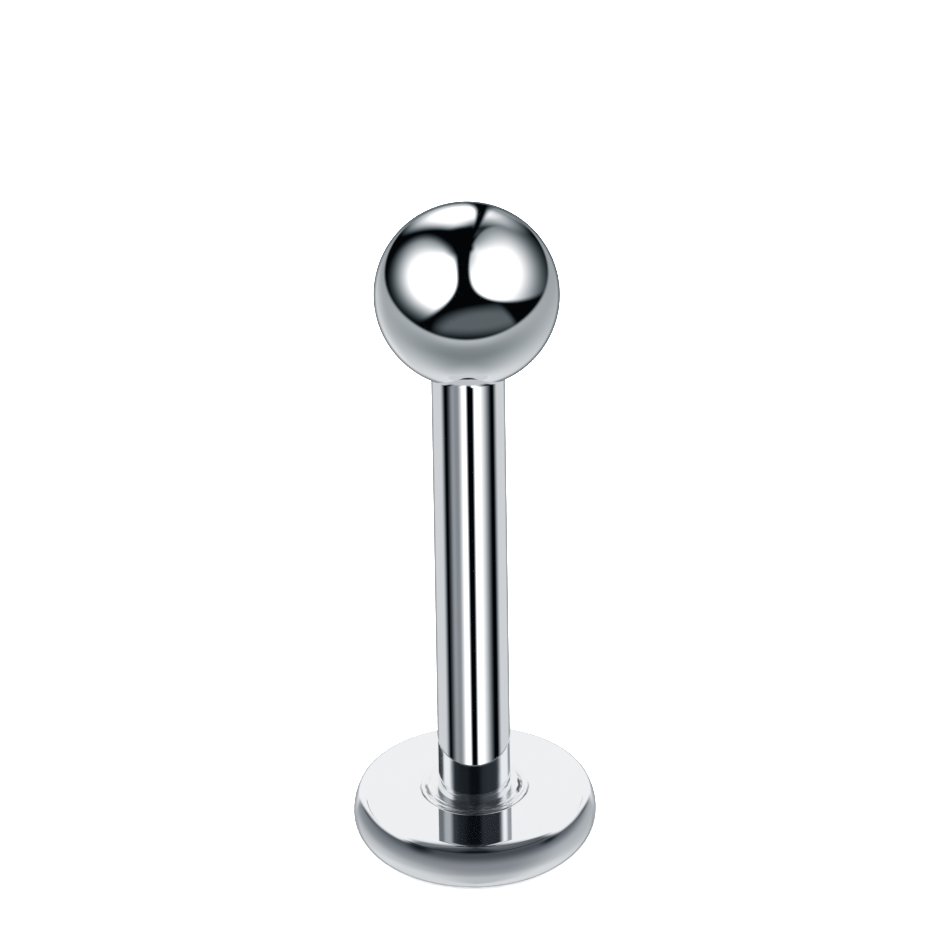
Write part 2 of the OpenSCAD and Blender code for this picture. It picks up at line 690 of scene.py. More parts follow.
@dataclass(frozen=True)
class BallLight:
    """The light round the ball: two big soft lamps, more behind, and a pale table below.

    Attributes:
        left: the big lamp on the left.
        right: the big lamp on the right.
        behind: the tall panel behind.
        behind_top: where that panel ends above.
        horizon: the pale band behind, a little below eye level.
        second: the dimmer panels beside it.
        join: how sharply the right lamp and the second panels join.
        gap: the dark line down the tall panel.
        gap_lean: degrees that the line leans round in a degree up.
        dim: the dim panel low in front.
        dim_foot: where the dim panel ends below.
        dim_side: where it ends on the right.
        dim_slope: how steeply that side comes down.
        table_depth: how far below eye level the table's edge is, on a sphere of radius 1.
        table_tilt: how much the edge climbs to the back.
        table_bow: how much it climbs at the two sides.
        table_soft: how soft the edge is.
        table_light: how bright the table is.
        table_fall: how much brighter it gets downwards.
        table_shade: the darker middle of the table.
        lip: the paler strip inside the edge.
        lip_light: how bright the lip is.
        lip_front: how much brighter it is in front.
        rear_sides: where the paler rear of the table begins, on both sides.
        rear_band: how low it lies and how pale it is.
        air: the light that is everywhere.
        fringe: how dark the rim of the ball is.
    """

    left: SoftLamp = SoftLamp(
        shape=Panel(-75.9, 15, 65.4, 63.8, 3.43, 0.231), cut_slope=0.856, cut_height=30.6, cut_reach=37.5,
        heat=Panel(-20, 45, 148.3, 64.6, 2.14, 0.99), heat_lean=-0.349, heat_power=1.54, light=4.53)
    right: SoftLamp = SoftLamp(
        shape=Panel(78.6, 28.5, 76.8, 56.2, 4.94, 0.109), cut_slope=-0.401, cut_height=29.0, cut_reach=55.6,
        heat=Panel(49.9, 41.9, 214.1, 123.1, 1.806, 0.99), heat_lean=-0.366, heat_power=4.0, light=2.14)
    behind: Panel = Panel(189.9, 28.9, 28.2, 38.8, 2.137, 0.733, light=1.3)
    behind_top: Wash = Wash(61.5, 52)
    horizon: Patch = Patch(Wash(155, 165), Strip(-4, 2, 9, 0.2))
    second: tuple[Panel, ...] = (
        Panel(167, 25.3, 34.1, 35.6, 1.559, 0.95, light=0.7),
        Panel(165, 23, 9, 20, light=0.2),
        Panel(154, 63, 12, 14, light=0.035),
    )
    join: float = 3.0
    gap: Strip = Strip(174.9, 1.456, 4.076)
    gap_lean: float = 0.198
    dim: Panel = Panel(16.2, -30.9, 64.4, 49.5, 2.11, 0.316, light=0.135)
    dim_foot: Wash = Wash(-27.2, -9.9)
    dim_side: Wash = Wash(93.1, 75.6)
    dim_slope: float = 1.75
    table_depth: float = 0.3103
    table_tilt: float = 0.172
    table_bow: float = 0.0921
    table_soft: float = 0.0396
    table_light: float = 0.2
    table_fall: float = 0.6133
    table_shade: Panel = Panel(0, -58.7, 164.3, 45.7, 5.0, 0.977, light=0.461)
    lip: Wash = Wash(-0.229, 0)
    lip_light: float = 0.0737
    lip_front: Strip = Strip(0, 20, 35, 0.08)
    rear_sides: tuple[Wash, ...] = (Wash(-110, -150), Wash(168, 180))
    rear_band: Strip = Strip(-34, 10, 14, 0.2)
    air: float = 0.002
    fringe: Wash = Wash(0.846, 0.958, 0.664)

    def glow(self, to: Direction) -> Wire:
        """Works out the light that comes from a direction.

        Args:
            to: the direction.

        Returns:
            The light.
        """
        lamps = self._lamps(to)
        edge = to.z + self.table_depth - to.y * self.table_tilt - to.x * to.x * self.table_bow
        table = edge.ramp(self.table_soft, -self.table_soft)
        light = lamps.blend(self._table(to, edge), table) + self.air
        return light * self.fringe.over(to.onward).rest()

    def _lamps(self, to: Direction) -> Wire:
        """Works out the light of the lamps.

        Args:
            to: the direction that they are seen in.

        Returns:
            The light.
        """
        left, right = self.left.over(to), self.right.over(to)
        behind = to.panel(self.behind) * self.behind_top.over(to.elevation)
        behind = behind + self.horizon.over(to.turn, to.elevation)
        second = total(to.panel(panel) for panel in self.second)
        right = right.math("POWER", self.join) + second.math("POWER", self.join)
        right = right.math("POWER", 1 / self.join)
        gap = self.gap.over(to.azimuth + to.elevation * self.gap_lean).rest()
        dim = to.panel(self.dim) * self.dim_foot.over(to.elevation)
        dim = dim * self.dim_side.over(to.elevation + to.azimuth * self.dim_slope)
        return (left + right + behind) * gap + dim

    def _table(self, to: Direction, edge: Wire) -> Wire:
        """Works out the light of the table.

        Args:
            to: the direction that it is seen in.
            edge: how far over the table's edge that is.

        Returns:
            The light.
        """
        light = to.z * -self.table_fall + self.table_light - to.panel(self.table_shade)
        light = light + self.lip.over(edge) * (self.lip_front.over(to.azimuth) + self.lip_light)
        rear = total(side.over(to.azimuth) for side in self.rear_sides)
        return light + rear * self.rear_band.over(to.elevation)


@dataclass(frozen=True)
class BarLight:
    """The light round the bar: white and grey strips low in front, pale sides, a dark room above.

    Attributes:
        lean: degrees that the strips lean round as they climb.
        front_lean: share of the lean that the front strips take.
        front_turn: how far round their middle is.
        right_inner: inner edge of the white strip on the right.
        right_outer: its long outer edge.
        left_outer: outer edge of the white strip on the left.
        left_inner: its inner edge.
        left_outer_lean: share of the lean that the outer edge takes besides.
        left_inner_lean: share of the lean that the inner edge takes besides.
        grey_outer: outer edge of the grey strip on the left.
        grey_inner: its inner edge.
        grey_line: the paler line in it.
        sides: the pale sides of the room.
        back_shade: how much darker the back is.
        foot: where the pale ground begins.
        foot_light: how bright the ground is.
        room: the strips of light above.
        ceiling: the faint light overhead.
        room_air: the light that is everywhere above.
        above: where the low lights give way to those above.
        air: the light that is everywhere.
    """

    lean: Wash = Wash(-50, -14, 24.0)
    front_lean: float = 0.344
    front_turn: float = 0.16
    right_inner: Wash = Wash(5.4, 15.8)
    right_outer: Wash = Wash(68.4, 8.4, 1.59)
    left_outer: Wash = Wash(-43.2, -11.2)
    left_inner: Wash = Wash(-3.6, -14.4, 1.64)
    left_outer_lean: float = -0.087
    left_inner_lean: float = 0.264
    grey_outer: Wash = Wash(-79, -52)
    grey_inner: Wash = Wash(-14, -26, 0.28)
    grey_line: Strip = Strip(-58.1, 0, 12, 0.084)
    sides: tuple[Wash, ...] = (Wash(-77.8, -98.1, 0.676), Wash(80.3, 100.3, 0.676))
    back_shade: Wash = Wash(138, 147.5, 0.415)
    foot: Wash = Wash(-46, -60)
    foot_light: float = 0.6
    room: tuple[Fade, ...] = (
        Strip(-97, 6, 24, 0.27), Wash(-68, -88, 0.14), Strip(110, 2, 22, 0.6), Wash(78, 104, 0.33),
        Wash(12, 28, 0.026), Wash(-12, -45, 0.016), Wash(-45, -68, 0.03),
    )
    ceiling: Wash = Wash(34, 60, 0.02)
    room_air: float = 0.005
    above: Wash = Wash(6, 20)
    air: float = 0.001

    def glow(self, to: Direction) -> Wire:
        """Works out the light that comes from a direction.

        Args:
            to: the direction.

        Returns:
            The light.
        """
        low = self._strips(to) * self.back_shade.over(to.turn).rest()
        low = low.blend(self.foot_light, self.foot.over(to.elevation))
        high = total(part.over(to.azimuth) for part in self.room)
        high = high + self.ceiling.over(to.elevation) + self.room_air
        return low.blend(high, self.above.over(to.elevation)) + self.air

    def _strips(self, to: Direction) -> Wire:
        """Works out the light of the low strips and the pale sides.

        Args:
            to: the direction that they are seen in.

        Returns:
            The light.
        """
        lean = self.lean.over(to.elevation)
        turn = to.azimuth - lean * self.front_lean - self.front_turn
        right = self.right_inner.over(turn) * self.right_outer.over(turn)
        left = self.left_outer.over(turn + lean * self.left_outer_lean)
        left = left * self.left_inner.over(turn + lean * self.left_inner_lean)
        grey = self.grey_outer.over(turn) * self.grey_inner.over(turn) + self.grey_line.over(turn)
        return right + left + grey + total(side.over(to.azimuth) for side in self.sides)


@dataclass(frozen=True)
class DiscLight:
    """The light round the disc: paler downwards, white behind and at the sides, dark in front above.

    Attributes:
        low_washes: the light that comes up downwards.
        low_patches: the paler patches low at the sides.
        low_air: the light that is everywhere below.
        high_washes: the faint light above at the two sides.
        high_patch: the faint patch high on the left.
        ceiling: the faint light overhead.
        high_air: the light that is everywhere above.
        above: where the low lights give way to those above.
        above_turn: degrees lower that this is in a degree round.
        spots: the dark spots at eye level.
        white_sides: where the white back begins on the left and the right.
        white_top: where it ends above.
        white_foot: where it ends below.
        white_drop: degrees that its foot comes down behind.
        white_light: how bright it is.
        crest_middle: how far round its top is highest.
        crest_bow: how fast its top comes down on both sides of that.
        crest_dip: degrees that its top comes down on the right.
        ring: the thin dark ring that the bar's foot mirrors off the face.
        ring_front: the wider part of it in front.
        ring_left: the wider part of it behind on the left.
        ring_breaks: the gaps in it.
        ring_end: where it ends behind.
        ring_dark: how dark it is.
        ring_darker: where it is darker still.
        fringe: how dark the rim of the disc is.
    """

    low_washes: tuple[Wash, ...] = (Wash(12, -15, 0.196), Wash(-17.7, -56, 0.25))
    low_patches: tuple[Patch, ...] = (
        Patch(Wash(25, 90), Wash(0, -21, 0.2)),
        Patch(Wash(0, -76), Wash(-10, -30, 0.17)),
        Patch(Wash(-60, -110), Strip(-37, 8, 15, 0.08)),
    )
    low_air: float = 0.086
    high_washes: tuple[Wash, ...] = (Wash(-5, -28, 0.05), Wash(8, 32, 0.09), Wash(30, 50, 0.02))
    high_patch: Patch = Patch(Wash(-38, -62), Wash(26, 42, 0.13))
    ceiling: Wash = Wash(48, 62, 0.03)
    high_air: float = 0.014
    above: Wash = Wash(12, 38)
    above_turn: float = 0.12
    spots: tuple[Panel, ...] = (Panel(-53, 15, 20, 20, light=0.8), Panel(72, 8, 16, 9, light=0.8))
    white_sides: tuple[Wash, ...] = (Wash(-62, -80), Wash(74, 92))
    white_top: Wash = Wash(82, 62)
    white_foot: Wash = Wash(5, 29)
    white_drop: Wash = Wash(118, 168, 70.0)
    white_light: float = 0.92
    crest_middle: float = 135.0
    crest_bow: float = 0.0069
    crest_dip: Strip = Strip(85, 10, 20, 11.0)
    ring: Strip = Strip(32.1, 0.25, 0.2)
    ring_front: Patch = Patch(Wash(80, 65), Strip(32.1, 2, 3))
    ring_left: Patch = Patch(Strip(-140, 10, 10), Strip(32.0, 0.45, 0.45))
    ring_breaks: tuple[Strip, ...] = (Strip(-97, 8, 16), Strip(112, 12, 18))
    ring_end: Wash = Wash(152, 158)
    ring_dark: float = 0.7
    ring_darker: Strip = Strip(-138, 16, 12, 0.25)
    fringe: Wash = Wash(0.78, 0.95, 0.55)

    def glow(self, to: Direction) -> Wire:
        """Works out the light that comes from a direction.

        Args:
            to: the direction.

        Returns:
            The light.
        """
        low = total(wash.over(to.elevation) for wash in self.low_washes) + self.low_air
        low = low + total(patch.over(to.azimuth, to.elevation) for patch in self.low_patches)
        high = total(wash.over(to.azimuth) for wash in self.high_washes)
        high = high + self.high_patch.over(to.azimuth, to.elevation)
        high = high + self.ceiling.over(to.elevation) + self.high_air
        front = low.blend(high, self.above.over(to.elevation + to.turn * self.above_turn))
        front = front * total(to.panel(spot) for spot in self.spots).rest()
        light = front.blend(self.white_light, self._white(to))
        return light * self._ring(to).rest() * self.fringe.over(to.onward).rest()

    def _white(self, to: Direction) -> Wire:
        """Works out where the white back and sides are.

        Args:
            to: the direction that they are seen in.

        Returns:
            1 on the white and 0 off it.
        """
        turn = to.turn
        crest = (turn - self.crest_middle).math("POWER", 2.0) * self.crest_bow
        crest = crest + self.crest_dip.over(to.azimuth)
        white = total(side.over(to.azimuth) for side in self.white_sides)
        white = white * self.white_top.over(to.elevation + crest)
        return white * self.white_foot.over(to.elevation + self.white_drop.over(turn))

    def _ring(self, to: Direction) -> Wire:
        """Works out how dark the thin ring makes it.

        Args:
            to: the direction that it is seen in.

        Returns:
            0 off the ring, and up to 1 on it.
        """
        turn = to.turn
        wide = self.ring_front.over(turn, to.elevation) + self.ring_left.over(to.azimuth, to.elevation)
        breaks = total(gap.over(to.azimuth) for gap in self.ring_breaks) + self.ring_end.over(turn)
        ring = self.ring.over(to.elevation).math("MAXIMUM", wide) * breaks.rest()
        return ring * (self.ring_darker.over(to.azimuth) + self.ring_dark)


@dataclass(frozen=True)
class CreaseShade:
    """Painted shade in the short creases at the sides of the weld, in millimetres from the bar's axis.

    Attributes:
        colour: colour of the painted shade in them.
        waver: how far they waver in and out.
        waver_rate: radians of waver in a millimetre.
        right_side: where the right side begins.
        right_shift: how much nearer in the right crease is.
        inner: the line that the two main creases follow.
        right_span: the length of the right one.
        left_span: the length of the left one.
        outer: the line that the faint outer creases follow.
        outer_span: their length.
    """

    colour: tuple[float, float, float, float] = (0.05, 0.055, 0.065, 1.0)
    waver: float = 0.005
    waver_rate: float = 31.0
    right_side: Wash = Wash(-0.1, 0.1)
    right_shift: float = 0.055
    inner: Strip = Strip(0.79, 0.012, 0.022)
    right_span: Strip = Strip(-0.05, 0.14, 0.1)
    left_span: Strip = Strip(-0.17, 0.1, 0.12, 0.7)
    outer: Strip = Strip(0.885, 0.006, 0.016)
    outer_span: Strip = Strip(-0.17, 0.12, 0.16, 0.45)

    def mask(self, x: Wire, y: Wire) -> Wire:
        """Works out where the painted crease shade lies.

        Args:
            x: millimetres to the right.
            y: millimetres to the back.

        Returns:
            1 in a crease and 0 off them.
        """
        radius = (x * x + y * y).math("SQRT") + (y * self.waver_rate).math("SINE") * self.waver
        right = self.right_side.over(x)
        span = right * self.right_span.over(y) + right.rest() * self.left_span.over(y)
        inner = self.inner.over(radius + right * self.right_shift) * span
        return inner + self.outer.over(radius) * self.outer_span.over(y)


@dataclass(frozen=True)
class Steel:
    """A polished steel finish.

    Attributes:
        finish: which surfaces take it.
        tint: colour of the metal.
        roughness: how blurred its reflection is.
        haze: how much the polish varies from place to place.
        grain: depth of the fine unevenness, in metres.
        rings: depth of the turned rings, in metres.
        ring_pitch: distance between rings, in metres.
        far_grey: the plain grey that the steel glows with in a mirror far from it, a painted reflection, or
            0 for a true mirror image.
        far: how many metres away such a mirror is.
        crease_shade: how dark the painted shade is in the creases at the sides of the weld.
    """

    finish: Finish
    tint: tuple[float, float, float]
    roughness: float
    haze: float
    grain: float
    rings: float = 0.0
    ring_pitch: float = 0.05 * MM
    far_grey: float = 0.0
    far: float = 5 * MM
    crease_shade: float = 0.0

    def material(self, groups: "SurfaceGroups") -> bpy.types.Material:
        """Makes the material.

        Args:
            groups: the shared surface effects.

        Returns:
            The material.
        """
        material = bpy.data.materials.new(self.finish.value)
        material.use_nodes = True
        tree = material.node_tree
        shader = tree.nodes["Principled BSDF"]
        shader.inputs["Metallic"].default_value = 1.0
        polish = tree.nodes.new("ShaderNodeGroup")
        polish.node_tree = groups.polish
        polish.inputs["Tint"].default_value = (*self.tint, 1.0)
        polish.inputs["Roughness"].default_value = self.roughness
        polish.inputs["Haze"].default_value = self.haze
        marks = tree.nodes.new("ShaderNodeGroup")
        marks.node_tree = groups.marks
        marks.inputs["Ring Pitch"].default_value = self.ring_pitch
        marks.inputs["Ring Depth"].default_value = self.rings
        marks.inputs["Grain Depth"].default_value = self.grain
        bump = tree.nodes.new("ShaderNodeBump")
        bump.inputs["Distance"].default_value = 1.0
        colour = polish.outputs["Color"]
        if self.crease_shade:
            colour = self._paint_crease_shade(tree, colour)
        tree.links.new(colour, shader.inputs["Base Color"])
        tree.links.new(polish.outputs["Roughness"], shader.inputs["Roughness"])
        tree.links.new(marks.outputs["Height"], bump.inputs["Height"])
        tree.links.new(bump.outputs["Normal"], shader.inputs["Normal"])
        if self.far_grey:
            material.cycles.emission_sampling = "NONE"
            self._calm(tree, shader)
        return material

    def _paint_crease_shade(self, tree: bpy.types.NodeTree, colour: bpy.types.NodeSocket) -> bpy.types.NodeSocket:
        """Paints shade into the metal's colour in the creases of the weld.

        Args:
            tree: the nodes of the material.
            colour: the colour of the metal.

        Returns:
            The colour with the painted crease shade in it.
        """
        painted_creases = CreaseShade()
        place = tree.nodes.new("ShaderNodeSeparateXYZ")
        tree.links.new(tree.nodes.new("ShaderNodeTexCoord").outputs["Object"], place.inputs[0])
        x, y = (Wire(tree, place.outputs[axis]) * (1 / MM) for axis in "XY")
        # painted shade: the creases' dark colour is mixed into the metal's colour
        tint = tree.nodes.new("ShaderNodeMix")
        tint.data_type = "RGBA"
        tint.inputs["B"].default_value = painted_creases.colour
        tree.links.new((painted_creases.mask(x, y) * self.crease_shade).socket, tint.inputs["Factor"])
        tree.links.new(colour, tint.inputs["A"])
        return tint.outputs["Result"]

    def _calm(self, tree: bpy.types.NodeTree, shader: bpy.types.Node) -> None:
        """Shows mirrors that are far away a painted reflection: the steel glows a plain grey to them
        instead of giving a second reflection.

        Args:
            tree: the nodes of the material.
            shader: the steel.
        """
        path = tree.nodes.new("ShaderNodeLightPath")
        far = Wire(tree, path.outputs["Ray Length"]).math("GREATER_THAN", self.far)
        far = far * Wire(tree, path.outputs["Is Glossy Ray"])
        # painted reflection: a grey glow that far mirrors see in place of the steel's own reflection
        plain = tree.nodes.new("ShaderNodeEmission")
        grey = self.far_grey
        plain.inputs["Color"].default_value = (grey ** Dome.red_power, grey ** Dome.green_power, grey, 1.0)
        mix = tree.nodes.new("ShaderNodeMixShader")
        tree.links.new(far.socket, mix.inputs[0])
        tree.links.new(shader.outputs[0], mix.inputs[1])
        tree.links.new(plain.outputs[0], mix.inputs[2])
        tree.links.new(mix.outputs[0], tree.nodes["Material Output"].inputs["Surface"])


@dataclass
class SurfaceGroups:
    """The surface effects that the finishes share, each a node group built once.

    Attributes:
        clouds: clouds of haze in a metre.
        specks: specks of haze in a metre.
        speck_share: how strong the specks are beside the clouds.
        cloud_tint: colour that the metal takes in the clouds.
        wavers: wavers of the turned rings in a metre.
        waver_turns: how many rings wide a waver is.
        grains: grains in a metre.
        polish: the group of the mirror polish.
        marks: the group of the tool marks.
    """

    clouds: float = 900.0
    specks: float = 9000.0
    speck_share: float = 0.5
    cloud_tint: tuple[float, float, float, float] = (0.985, 0.99, 1.0, 1.0)
    wavers: float = 700.0
    waver_turns: float = 0.6
    grains: float = 14000.0
    polish: bpy.types.NodeTree = field(init=False)
    marks: bpy.types.NodeTree = field(init=False)

    def __post_init__(self) -> None:
        """Builds the groups."""
        self.polish = self._polish()
        self.marks = self._marks()

    @staticmethod
    def _group(name: str, inputs: Sequence[tuple[str, str]], outputs: Sequence[tuple[str, str]]
               ) -> tuple[bpy.types.NodeTree, bpy.types.Node, bpy.types.Node]:
        """Starts a group.

        Args:
            name: the group's name.
            inputs: the name and kind of each input.
            outputs: the name and kind of each output.

        Returns:
            The tree and its input and output nodes.
        """
        tree = bpy.data.node_groups.new(name, "ShaderNodeTree")
        for side, sockets in (("INPUT", inputs), ("OUTPUT", outputs)):
            for label, kind in sockets:
                tree.interface.new_socket(name=label, in_out=side, socket_type=f"NodeSocket{kind}")
        return tree, tree.nodes.new("NodeGroupInput"), tree.nodes.new("NodeGroupOutput")

    @staticmethod
    def _noise(tree: bpy.types.NodeTree, place: bpy.types.NodeSocket, scale: float, detail: float) -> Wire:
        """Adds a noise.

        Args:
            tree: the nodes that it joins.
            place: where on the object it is read.
            scale: its features in a metre.
            detail: how many finer layers it has.

        Returns:
            The noise, from 0 to 1.
        """
        noise = tree.nodes.new("ShaderNodeTexNoise")
        noise.inputs["Scale"].default_value = scale
        noise.inputs["Detail"].default_value = detail
        tree.links.new(place, noise.inputs["Vector"])
        return Wire(tree, noise.outputs["Fac"])

    def _polish(self) -> bpy.types.NodeTree:
        """Makes the mirror polish: cloudy haze in the roughness and a faint shift of the tint.

        Returns:
            The group.
        """
        tree, given, made = self._group(
            "mirror_polish", [("Tint", "Color"), ("Roughness", "Float"), ("Haze", "Float")],
            [("Color", "Color"), ("Roughness", "Float")])
        place = tree.nodes.new("ShaderNodeTexCoord").outputs["Object"]
        clouds = self._noise(tree, place, self.clouds, 3.0).ramp(0.35, 0.7)
        specks = self._noise(tree, place, self.specks, 2.0).ramp(0.6, 0.8)
        haze = Wire(tree, given.outputs["Haze"])
        roughness = Wire(tree, given.outputs["Roughness"]) + haze * (clouds + specks * self.speck_share)
        tint = tree.nodes.new("ShaderNodeMix")
        tint.data_type = "RGBA"
        tint.blend_type = "MULTIPLY"
        tint.inputs["B"].default_value = self.cloud_tint
        tree.links.new(clouds.socket, tint.inputs["Factor"])
        tree.links.new(given.outputs["Tint"], tint.inputs["A"])
        tree.links.new(tint.outputs["Result"], made.inputs["Color"])
        tree.links.new(roughness.socket, made.inputs["Roughness"])
        return tree

    def _marks(self) -> bpy.types.NodeTree:
        """Makes the tool marks: fine rings turned round the axis, and a fine grain.

        Returns:
            The group.
        """
        tree, given, made = self._group(
            "turning_marks", [("Ring Pitch", "Float"), ("Ring Depth", "Float"), ("Grain Depth", "Float")],
            [("Height", "Float")])
        place = tree.nodes.new("ShaderNodeTexCoord").outputs["Object"]
        split = tree.nodes.new("ShaderNodeSeparateXYZ")
        tree.links.new(place, split.inputs[0])
        x, y = Wire(tree, split.outputs["X"]), Wire(tree, split.outputs["Y"])
        pitch, ring_depth, grain_depth = (
            Wire(tree, given.outputs[name]) for name in ("Ring Pitch", "Ring Depth", "Grain Depth"))
        radius = (x * x + y * y).math("SQRT")
        waver = self._noise(tree, place, self.wavers, 2.0)
        turns = radius.math("DIVIDE", pitch) + waver * self.waver_turns
        rings = (turns * math.tau).math("SINE")
        grain = self._noise(tree, place, self.grains, 3.0)
        height = rings * ring_depth + grain * grain_depth
        tree.links.new(height.socket, made.inputs["Height"])
        return tree


@dataclass
class SteelShop:
    """Keeps the steel's materials, one for each finish."""

    groups: SurfaceGroups
    polish_tint: tuple[float, float, float] = (0.94, 0.948, 0.96)
    satin_tint: tuple[float, float, float] = (0.86, 0.865, 0.88)
    made: dict[Finish, bpy.types.Material] = field(default_factory=dict)

    def material(self, finish: Finish) -> bpy.types.Material:
        """Gives the material of a finish, which is made once.

        Args:
            finish: the finish.

        Returns:
            Its material.
        """
        if finish not in self.made:
            self.made[finish] = self._recipe(finish).material(self.groups)
        return self.made[finish]

    def _recipe(self, finish: Finish) -> Steel:
        """Gives the recipe of a finish.

        Args:
            finish: the finish.

        Returns:
            The steel with that finish.
        """
        # far_grey gives the painted reflection: the grey glow that far mirrors see of the steel
        mirror = Steel(finish, self.polish_tint, roughness=0.025, haze=0.02, grain=0.00001 * MM,
                       far_grey=0.03)
        recipes = {
            Finish.BALL_POLISH: mirror,
            Finish.BAR_POLISH: mirror,
            Finish.DISC_POLISH: replace(mirror, roughness=0.03, rings=0.00001 * MM, ring_pitch=0.06 * MM,
                                        far_grey=0.66),
            # the weld's crease setting paints shade into its colour at the sides of the weld
            Finish.WELD_POLISH: replace(mirror, roughness=0.21, haze=0.06, grain=0.0002 * MM, far_grey=0.66,
                                        crease_shade=0.95),
            Finish.THREAD_SATIN: Steel(finish, self.satin_tint, roughness=0.2, haze=0.1, grain=0.0003 * MM),
        }
        return recipes[finish]


@dataclass
class ScrewBall:
    """The ball, with its mouth for the bar's shoulder and its threaded bore."""

    sizes: StudSizes
    thread: ThreadForm
    mouth_gap: float = 0.03 * MM
    seat_depth: float = 0.14 * MM
    thread_gap: float = 0.03 * MM
    end_room: float = 0.15 * MM
    drill_angle: float = 118.0
    mouth_bevel: float = 0.02 * MM
    bore_steps: int = 120
    ball_steps: int = 112
    segments: int = 224

    def build(self, shop: SteelShop) -> bpy.types.Object:
        """Builds the ball from the end of its bore, out of its mouth and over its top.

        Args:
            shop: gives the materials.

        Returns:
            The ball.
        """
        sizes, thread = self.sizes, self.thread
        lathe = Lathe("screw_ball", self.segments)
        bore = thread.crest_radius + self.thread_gap
        mouth = sizes.bar_radius + self.mouth_gap
        seat = sizes.mouth_height + self.seat_depth
        bore_end = sizes.tip_height + self.end_room
        point = bore / math.tan(math.radians(self.drill_angle / 2))

        def tapped(angles: np.ndarray, share: float) -> tuple[np.ndarray, np.ndarray]:
            """Traces the tapped bore, which opens out to its full width at both ends.

            Args:
                angles: angles round the axis, in radians.
                share: share of the way down the bore.

            Returns:
                The radius and height at each angle.
            """
            height = bore_end + (seat - bore_end) * share
            ends = min(height - seat, bore_end - height) / thread.run_out
            cut = thread.radius(angles, height, fade=False) + self.thread_gap
            radius = bore + (cut - bore) * min(max(ends, 0.0), 1.0)
            return radius, np.full_like(angles, height)

        lathe.start(0.0, bore_end + point)
        lathe.straight(bore, bore_end, Finish.THREAD_SATIN, steps=6)
        lathe.swept(tapped, Finish.THREAD_SATIN, steps=self.bore_steps)
        lathe.straight(mouth, seat, Finish.THREAD_SATIN, steps=2)
        lip = sizes.mouth_height + self.mouth_bevel
        lathe.straight(mouth, lip, Finish.THREAD_SATIN, steps=2)
        edge_radius = mouth + self.mouth_bevel
        edge_angle = -math.acos(edge_radius / sizes.ball_radius)
        edge_height = sizes.ball_height + sizes.ball_radius * math.sin(edge_angle)
        lathe.straight(edge_radius, edge_height, Finish.BALL_POLISH)
        lathe.arc((0.0, sizes.ball_height), math.degrees(edge_angle), 90.0, Finish.BALL_POLISH,
                  steps=self.ball_steps)
        LOG.info("bore: radius %.3f mm", bore / MM)
        ball = lathe.build(shop)
        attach(ball, "ball")
        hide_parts("ball")
        return ball


@dataclass(frozen=True)
class WeldForm:
    """The low weld round the foot of the bar: two uneven steps up, with a groove between them.

    Attributes:
        width: how far it reaches out from the bar.
        rise: its height.
        outer_share: share of the rise that the outer step takes.
        outer_width: width of the outer step.
        outer_drift: how far the outer step wanders, beside the inner one.
        inner_width: width of the inner step.
        inner_inset: how far in from the outside the inner step is.
        drift: how far the steps wander in and out.
        drift_waves: waves round the bar, turn and share of each part of the wandering.
        drift_mean: how far in they wander on the whole.
        groove_depth: depth of the groove.
        groove_width: width of the groove.
        groove_inset: how far in from the outside the groove is.
        lump_side: how much deeper the groove is on the right than on the left.
        lump_waves: waves, turn and share of each part of the groove's unevenness.
        lump_power: how closely the groove keeps to the two sides.
        ripple: height of the fine ripple.
        ripple_waves: ripples round the bar.
        ripple_twist: how far they turn from the outside to the bar, in radians.
    """

    width: float = 0.3 * MM
    rise: float = 0.032 * MM
    outer_share: float = 0.6
    outer_width: float = 0.018 * MM
    outer_drift: float = 0.4
    inner_width: float = 0.016 * MM
    inner_inset: float = 0.06 * MM
    drift: float = 0.005 * MM
    drift_waves: tuple[tuple[int, float, float], ...] = ((3, 0.8, 1.0), (7, 2.1, 0.7))
    drift_mean: float = 1.7
    groove_depth: float = 0.022 * MM
    groove_width: float = 0.016 * MM
    groove_inset: float = 0.135 * MM
    lump_side: float = 0.35
    lump_waves: tuple[tuple[int, float, float], ...] = ((5, 1.0, 0.4), (11, 0.4, 0.3))
    lump_power: int = 4
    ripple: float = 0.0005 * MM
    ripple_waves: int = 13
    ripple_twist: float = 30.0

    def height(self, angles: np.ndarray, inset: float, share: float) -> np.ndarray:
        """Works out the height of the weld over the disc's face, round one ring.

        Args:
            angles: angles round the axis, in radians.
            inset: how far in from the outside of the weld the ring is.
            share: the same, as a share of the width.

        Returns:
            The height at each angle.
        """
        drift = self.drift * (self._waves(angles, self.drift_waves) - self.drift_mean)
        lumps = 1 + self.lump_side * np.cos(angles) + self._waves(angles, self.lump_waves)
        lumps = lumps * np.cos(angles) ** self.lump_power
        fade = 4 * max(share, 0.0) * max(1 - share, 0.0)
        outer = smooth((inset + self.outer_drift * drift) / self.outer_width)
        inner = smooth((inset - self.inner_inset + drift) / self.inner_width)
        height = self.rise * (self.outer_share * outer + (1 - self.outer_share) * inner)
        line = (inset - self.groove_inset + drift) / self.groove_width
        height = height - self.groove_depth * lumps * fade * np.exp(-line * line)
        ripples = np.sin(self.ripple_waves * angles + self.ripple_twist * share)
        return height + self.ripple * fade * ripples

    @staticmethod
    def _waves(angles: np.ndarray, waves: Sequence[tuple[int, float, float]]) -> np.ndarray:
        """Adds up waves round the axis, each with its count, turn and share."""
        return sum(share * np.sin(count * angles + turn) for count, turn, share in waves)


